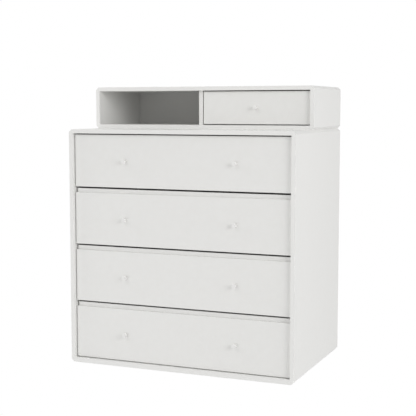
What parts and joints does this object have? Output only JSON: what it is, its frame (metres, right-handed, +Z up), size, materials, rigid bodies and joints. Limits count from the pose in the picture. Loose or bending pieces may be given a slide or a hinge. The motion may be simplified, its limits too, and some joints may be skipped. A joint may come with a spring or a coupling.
{
  "type": "wall-hung chest of drawers",
  "caption": "White lacquered wall-hung chest: a deep case with full-width drawers and small round knobs, under a shallow case with an open compartment and a drawer.",
  "frame": {"origin": "on the wall plane, at the middle of the screws that hold the wall batten", "axes": "+X to the right seen from the front, +Y into the wall, the drawers open towards -Y, +Z up"},
  "size_m": [0.696, 0.452, 0.819],
  "materials": {
    "white_lacquer": "smooth satin white lacquer on fibreboard",
    "drawer_board": "matt white foil on particle board, bare cut edges lacquered",
    "back_sheet": "matt white painted hardboard",
    "rail_wood": "planed raw plywood",
    "zinc_steel": "zinc-plated rolled steel",
    "knob_paint": "satin white paint on a turned metal knob"
  },
  "bodies": {
    "cabinet": {"lower_left_side": "white_lacquer", "lower_right_side": "white_lacquer", "lower_top": "white_lacquer", "lower_bottom": "white_lacquer", "lower_back": "back_sheet", "hanging_rail": "rail_wood", "wall_batten": "rail_wood", "lower_case_runners": "zinc_steel", "upper_left_side": "white_lacquer", "upper_right_side": "white_lacquer", "upper_top": "white_lacquer", "upper_bottom": "white_lacquer", "upper_divider": "white_lacquer", "upper_back": "back_sheet", "upper_case_runners": "zinc_steel", "joining_screws": "zinc_steel"},
    "drawer_1": {"drawer_1_front": "white_lacquer", "drawer_1_inner_front": "white_lacquer", "drawer_1_left_side": "drawer_board", "drawer_1_right_side": "drawer_board", "drawer_1_back": "drawer_board", "drawer_1_bottom": "drawer_board", "drawer_1_left_knob": "knob_paint", "drawer_1_right_knob": "knob_paint", "drawer_1_runners": "zinc_steel"},
    "drawer_2": {"drawer_2_front": "white_lacquer", "drawer_2_inner_front": "white_lacquer", "drawer_2_left_side": "drawer_board", "drawer_2_right_side": "drawer_board", "drawer_2_back": "drawer_board", "drawer_2_bottom": "drawer_board", "drawer_2_left_knob": "knob_paint", "drawer_2_right_knob": "knob_paint", "drawer_2_runners": "zinc_steel"},
    "drawer_3": {"drawer_3_front": "white_lacquer", "drawer_3_inner_front": "white_lacquer", "drawer_3_left_side": "drawer_board", "drawer_3_right_side": "drawer_board", "drawer_3_back": "drawer_board", "drawer_3_bottom": "drawer_board", "drawer_3_left_knob": "knob_paint", "drawer_3_right_knob": "knob_paint", "drawer_3_runners": "zinc_steel"},
    "drawer_4": {"drawer_4_front": "white_lacquer", "drawer_4_inner_front": "white_lacquer", "drawer_4_left_side": "drawer_board", "drawer_4_right_side": "drawer_board", "drawer_4_back": "drawer_board", "drawer_4_bottom": "drawer_board", "drawer_4_left_knob": "knob_paint", "drawer_4_right_knob": "knob_paint", "drawer_4_runners": "zinc_steel"},
    "upper_drawer": {"upper_drawer_front": "white_lacquer", "upper_drawer_inner_front": "white_lacquer", "upper_drawer_left_side": "drawer_board", "upper_drawer_right_side": "drawer_board", "upper_drawer_back": "drawer_board", "upper_drawer_bottom": "drawer_board", "upper_drawer_knob": "knob_paint", "upper_drawer_runners": "zinc_steel"}
  },
  "joints": [
    {"name": "drawer_1_slide", "type": "slide", "parent": "cabinet", "child": "drawer_1", "axis": [0, -1, 0], "range_m": [0, 0.26]},
    {"name": "drawer_2_slide", "type": "slide", "parent": "cabinet", "child": "drawer_2", "axis": [0, -1, 0], "range_m": [0, 0.26]},
    {"name": "drawer_3_slide", "type": "slide", "parent": "cabinet", "child": "drawer_3", "axis": [0, -1, 0], "range_m": [0, 0.26]},
    {"name": "drawer_4_slide", "type": "slide", "parent": "cabinet", "child": "drawer_4", "axis": [0, -1, 0], "range_m": [0, 0.26]},
    {"name": "upper_drawer_slide", "type": "slide", "parent": "cabinet", "child": "upper_drawer", "axis": [0, -1, 0], "range_m": [0, 0.15]}
  ]
}
